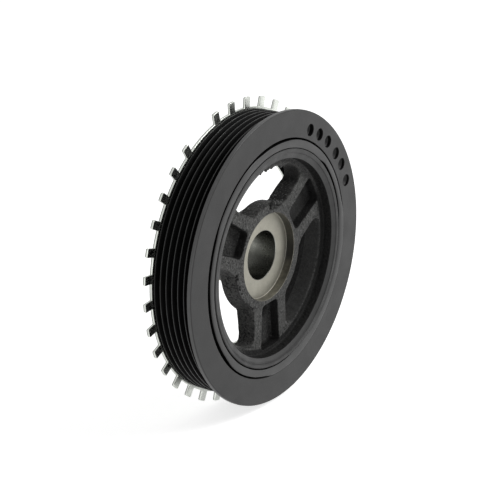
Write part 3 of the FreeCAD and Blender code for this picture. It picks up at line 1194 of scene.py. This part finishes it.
def rubber_section(sizes, ring_inside, angle):
    """Section of the rubber at one angle in degrees, from the hub rim to the belt ring and back."""
    inner, outer = hub_high.x, ring_inside
    front, rear = rubber_low.y, rubber_high.y
    torn, sealed, narrow, wide, opened, sunk = (
        span_share(kind, angle) for kind in ("torn", "sealed", "narrow", "wide", "opened", "sunk"))
    wander = noise.noise(Vector((angle / 9.0, 0.0, 0.0)))
    # The crack beside the hub rim and the groove beside the belt ring
    slit = sizes.slit_width * (1.0 + 0.4 * wander + 1.5 * opened)
    slit = slit * (1 - torn) + sizes.torn_width * torn
    slit_depth = sizes.slit_depth * (1.0 + opened) * (1 - torn) + sizes.torn_depth * torn
    gap = sizes.gap_width * (1.0 + 0.1 * wander + 0.2 * wide) * (1.0 - 0.4 * narrow)
    gap *= 1.0 - 0.85 * sealed
    gap_depth = sizes.gap_depth * (1.0 - sealed) - 0.1 * MM * sealed
    left, right = inner + slit, outer - gap
    # The crown between them, the brow where its edges turn down and the slopes up to it
    crown = front - sizes.crown
    brow = crown + 0.42 * MM
    slope = 0.45 * MM * (1.0 + 2.2 * sunk)
    shoulder = 0.45 * MM
    slit_rise = brow + 0.3 * MM * sunk - front - slit_depth
    section = [(inner + slit * sine, front + slit_depth + slit_rise * drop)
               for sine, drop in quarter_turn(4)]
    section += [(left + 0.18 * slope, crown + 0.22 * MM * (1.0 + sunk)),
                (left + 0.53 * slope, crown + 0.08 * MM * (1.0 + sunk))]
    crown_steps = 8
    for step in range(crown_steps + 1):
        share = step / crown_steps
        bulge = 0.05 * MM * math.sin(math.pi * share) + 0.03 * MM * wander
        section.append((left + slope + (right - left - slope - shoulder) * share, crown - bulge))
    section += [(right - 0.24 * MM, crown + 0.08 * MM), (right - 0.08 * MM, crown + 0.22 * MM)]
    section += [(right + gap * drop, brow + (front + gap_depth - brow) * sine)
                for sine, drop in quarter_turn(4)]
    section += [(outer, rear), ((inner + outer) / 2, rear - 0.3 * MM), (inner, rear)]
    return section


class BALANCER_OT_damping_ring(bpy.types.Operator):
    """Build the rubber bonded between the hub rim and the belt ring"""
    bl_idname = "balancer.damping_ring"
    bl_label = "Damping Ring"

    def execute(self, context):
        sizes = context.scene.balancer_damping_ring
        colours = context.scene.balancer_colours
        hub_radius = context.scene.balancer_hub.radius
        ring_inside = context.scene.balancer_pulley_ring.inside
        shell = Shell()
        angles = [360.0 * step / TRACK_SEGMENTS for step in range(TRACK_SEGMENTS)]
        sections = [rubber_section(sizes, ring_inside, angle) for angle in angles]
        loops = []
        for corner in range(len(sections[0])):
            start = len(shell.points)
            for step, section in enumerate(sections):
                radius, place = section[corner]
                flat = polar(2 * math.pi * step / TRACK_SEGMENTS, max(radius, hub_radius))
                shell.points.append(Vector((flat.x, place, flat.y)))
                shell.rough.append(0.0)
            loops.append(list(range(start, len(shell.points))))
        loops.append(loops[0])
        # The coat covers the crown, and the wall beside the belt ring where it closes the groove
        crown_bands, wall_bands = range(5, 18), range(18, 23)
        for index, (first, second) in enumerate(zip(loops, loops[1:])):
            shell.band(first, second, DUSTED_RUBBER if index in crown_bands else BARE_RUBBER)
            for step, angle in enumerate(angles):
                if index in wall_bands and span_share("sealed", angle) > 0.95:
                    shell.finishes[step - TRACK_SEGMENTS] = DUSTED_RUBBER
        materials = [
            rubber_finish("bare rubber", colours.rubber, 0.2 * MM),
            satin_coat("coated rubber", colours.dusted, 0.45, 0.5),
        ]
        made = shell.piece("damping_rubber", materials)
        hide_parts("damping_ring")
        return {"FINISHED"}


# Timing plate

PLATE, SHEARED = range(2)


def toothed_outline(sizes):
    """Outline of the timing plate with the direction out of the opening between teeth."""
    step = 2 * math.pi / sizes.positions
    half = sizes.tooth_width / 2
    root, tip = sizes.root_radius, sizes.tip_radius
    fillet, corner = 0.3 * MM, 0.8 * MM
    fillet_spacing, corner_spacing, arc_spacing, side_spacing = (
        spacing * MM for spacing in (0.12, 0.15, 1.2, 1.5))
    foot_centre = Vector((-half - fillet, math.sqrt((root + fillet) ** 2 - (half + fillet) ** 2)))
    tip_centre = Vector((-half + corner, math.sqrt((tip - corner) ** 2 - (half - corner) ** 2)))
    foot_angle = math.atan2(foot_centre.x, foot_centre.y)
    tip_angle = math.atan2(tip_centre.x, tip_centre.y)
    side_foot, side_tip = Vector((-half, foot_centre.y)), Vector((-half, tip_centre.y))
    run = []
    for position in range(sizes.positions):
        angle = sizes.first_tooth + position * step
        if position == sizes.missing:
            run += arc_run(BORE_AXIS, root, angle - step / 2, angle + step / 2, side_spacing, -1.0)
            continue
        tooth = arc_run(BORE_AXIS, root, -step / 2, foot_angle, arc_spacing, -1.0)
        tooth += arc_run(foot_centre, fillet, foot_angle + math.pi, math.pi / 2, fillet_spacing)
        tooth += straight_run(side_foot, side_tip, Vector((1, 0)), side_spacing)
        tooth += arc_run(tip_centre, corner, -math.pi / 2, tip_angle, corner_spacing, -1.0)
        tooth += arc_run(BORE_AXIS, tip, tip_angle, -tip_angle, arc_spacing, -1.0)
        tooth += arc_run(mirrored(tip_centre), corner, -tip_angle, math.pi / 2, corner_spacing, -1.0)
        tooth += straight_run(mirrored(side_tip), mirrored(side_foot), Vector((-1, 0)), side_spacing)
        tooth += arc_run(mirrored(foot_centre), fillet, -math.pi / 2, -math.pi - foot_angle,
                         fillet_spacing)
        tooth += arc_run(BORE_AXIS, root, -foot_angle, step / 2, arc_spacing, -1.0)
        run += turned_outline(tooth, angle)
    return run


class BALANCER_OT_tone_ring(bpy.types.Operator):
    """Build the stamped timing plate with one tooth left out"""
    bl_idname = "balancer.tone_ring"
    bl_label = "Timing Plate"

    def execute(self, context):
        sizes = context.scene.balancer_tone_ring
        colours = context.scene.balancer_colours
        shell = Shell()
        run = toothed_outline(sizes)
        front, rear = plate_low.y, plate_high.y
        # Steps of each edge in millimetres: into the plate from its outline and from its face
        front_edge = [(0.42, 0.0), (0.32, 0.0), (0.2, 0.02), (0.08, 0.1), (0.0, 0.28)]
        rear_edge = [(0.0, 0.62), (0.06, 0.5), (0.09, 0.2), (0.14, 0.06), (0.26, 0.0), (0.34, 0.0)]
        hole_edge = [(0.3, 0.0), (0.2, 0.0), (0.05, 0.06), (0.0, 0.2)]
        outside = [(inset, front + depth * MM) for inset, depth in front_edge]
        outside += [(inset, rear - depth * MM) for inset, depth in rear_edge]
        bore = [(inset, front + depth * MM) for inset, depth in hole_edge]
        bore += [(inset, rear - depth * MM) for inset, depth in reversed(hole_edge)]
        loops = [shell.loop(offset_outline(run, inset * MM), place) for inset, place in outside]
        hole = [shell.loop(circle(sizes.inside + inset * MM, WHEEL_SEGMENTS), place)
                for inset, place in bore]
        sheared = loops[len(front_edge):]
        shell.bands(loops[:len(front_edge) + 1], PLATE)
        shell.bands(sheared, SHEARED)
        shell.bands(hole, PLATE)
        shell.fill([loops[0], hole[0]], PLATE)
        shell.fill([loops[-1], hole[-1]], PLATE)
        made = shell.piece("timing_plate", [
            plate_finish("plate steel", colours.plate),
            plate_finish("sheared edge", scaled(colours.plate, 0.35)),
        ])
        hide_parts("tone_ring")
        return {"FINISHED"}


# Stage

WHITE = (1.0, 1.0, 1.0)


def soft_lamp(name, place, size, power):
    """Square area lamp that looks at the middle of the wheel."""
    lamp = bpy.data.lights.new(name, "AREA")
    lamp.shape = "SQUARE"
    lamp.size = size
    lamp.energy = power
    made = bpy.data.objects.new(name, lamp)
    made.location = place
    made.rotation_euler = (-Vector(place)).to_track_quat("-Z", "Y").to_euler()
    bpy.context.scene.collection.objects.link(made)


def make_world(level):
    """Plain surroundings, white where they are seen directly."""
    world = bpy.data.worlds.new("studio")
    world.use_nodes = True
    tree = NodeTree(world.node_tree)
    back = tree.nodes["Background"].inputs
    tree.join(WHITE, back["Color"])
    tree.join(tree.spread(tree.seen_directly(), 0.0, 1.0, level, 1.0), back["Strength"])
    bpy.context.scene.world = world


def make_floor(shade):
    """Pale floor under the lowest teeth, which keeps the shadow of the wheel."""
    mesh = bpy.data.meshes.new("floor")
    half, height = 6.0, frame_low.z
    roughness, faint_tone, glow_level = 0.9, 0.99, 0.72
    corners = [(-half, -half, height), (half, -half, height),
               (half, half, height), (-half, half, height)]
    mesh.from_pydata(corners, [], [(0, 1, 2, 3)])
    finish = Finish("floor")
    tone = finish.grain(0.4, 2.0)
    finish.coat(finish.blend(tone, scaled(shade, faint_tone), shade), roughness, specular=0.0)
    glow = finish.times(finish.seen_directly(), glow_level)
    finish.join(WHITE, finish.shader.inputs["Emission Color"])
    finish.join(glow, finish.shader.inputs["Emission Strength"])
    mesh.materials.append(finish.material)
    floor = bpy.data.objects.new("floor", mesh)
    bpy.context.scene.collection.objects.link(floor)


def make_camera(focal_length):
    """Camera at the photograph's place, a little above and to the left of the front."""
    camera = bpy.data.cameras.new("camera")
    camera.sensor_width = 36.0
    camera.lens = focal_length
    camera.clip_start = 0.01
    camera.clip_end = 50.0
    made = bpy.data.objects.new("camera", camera)
    # The camera's own axes and its place, fitted to the photograph
    right = Vector((0.56292, -0.82651, 0.0))
    up = Vector((0.27981, 0.19057, 0.94095))
    back = Vector((-0.77771, -0.52968, 0.33854))
    place = Vector((-0.66264, -0.44626, 0.28977))
    facing = Matrix((right, up, back)).transposed().to_4x4()
    made.matrix_world = Matrix.Translation(place) @ facing
    bpy.context.scene.collection.objects.link(made)
    bpy.context.scene.camera = made


class BALANCER_OT_stage(bpy.types.Operator):
    """Set up the floor, the surroundings, the lamps and the camera"""
    bl_idname = "balancer.stage"
    bl_label = "Stage"

    def execute(self, context):
        stage = context.scene.balancer_stage
        context.scene.view_settings.view_transform = "Standard"
        make_world(stage.world_level)
        make_floor(stage.floor)
        soft_lamp("key", (0.65, -1.0, 1.0), 0.7, stage.key_power)
        soft_lamp("fill", (-1.2, -0.1, 0.05), 0.8, stage.fill_power)
        make_camera(stage.focal_length)
        return {"FINISHED"}


class BALANCER_PT_sidebar(bpy.types.Panel):
    """Buttons that build the balancer piece by piece"""
    bl_label = "Harmonic Balancer"
    bl_space_type = "VIEW_3D"
    bl_region_type = "UI"
    bl_category = "Balancer"

    def draw(self, context):
        for operator in PIECE_OPERATORS:
            self.layout.operator(operator.bl_idname)


PIECE_OPERATORS = (
    BALANCER_OT_hub,
    BALANCER_OT_pulley_ring,
    BALANCER_OT_damping_ring,
    BALANCER_OT_tone_ring,
    BALANCER_OT_stage,
)
SETTING_GROUPS = {
    "balancer_hub": HubSizes,
    "balancer_pulley_ring": PulleyRingSizes,
    "balancer_damping_ring": DampingRingSizes,
    "balancer_tone_ring": ToneRingSizes,
    "balancer_colours": FinishColours,
    "balancer_stage": StageSettings,
}


def register():
    """Register the settings, the operators and the panel."""
    for name, group in SETTING_GROUPS.items():
        bpy.utils.register_class(group)
        setattr(bpy.types.Scene, name, bpy.props.PointerProperty(type=group))
    for operator in PIECE_OPERATORS:
        bpy.utils.register_class(operator)
    bpy.utils.register_class(BALANCER_PT_sidebar)


def unregister():
    """Take the panel, the operators and the settings away again."""
    bpy.utils.unregister_class(BALANCER_PT_sidebar)
    for operator in reversed(PIECE_OPERATORS):
        bpy.utils.unregister_class(operator)
    for name, group in SETTING_GROUPS.items():
        delattr(bpy.types.Scene, name)
        bpy.utils.unregister_class(group)


def main():
    """Build every piece and the stage."""
    register()
    bpy.ops.balancer.stage()
    bpy.ops.balancer.hub()
    bpy.ops.balancer.pulley_ring()
    bpy.ops.balancer.damping_ring()
    bpy.ops.balancer.tone_ring()


if __name__ == "__main__":
    main()
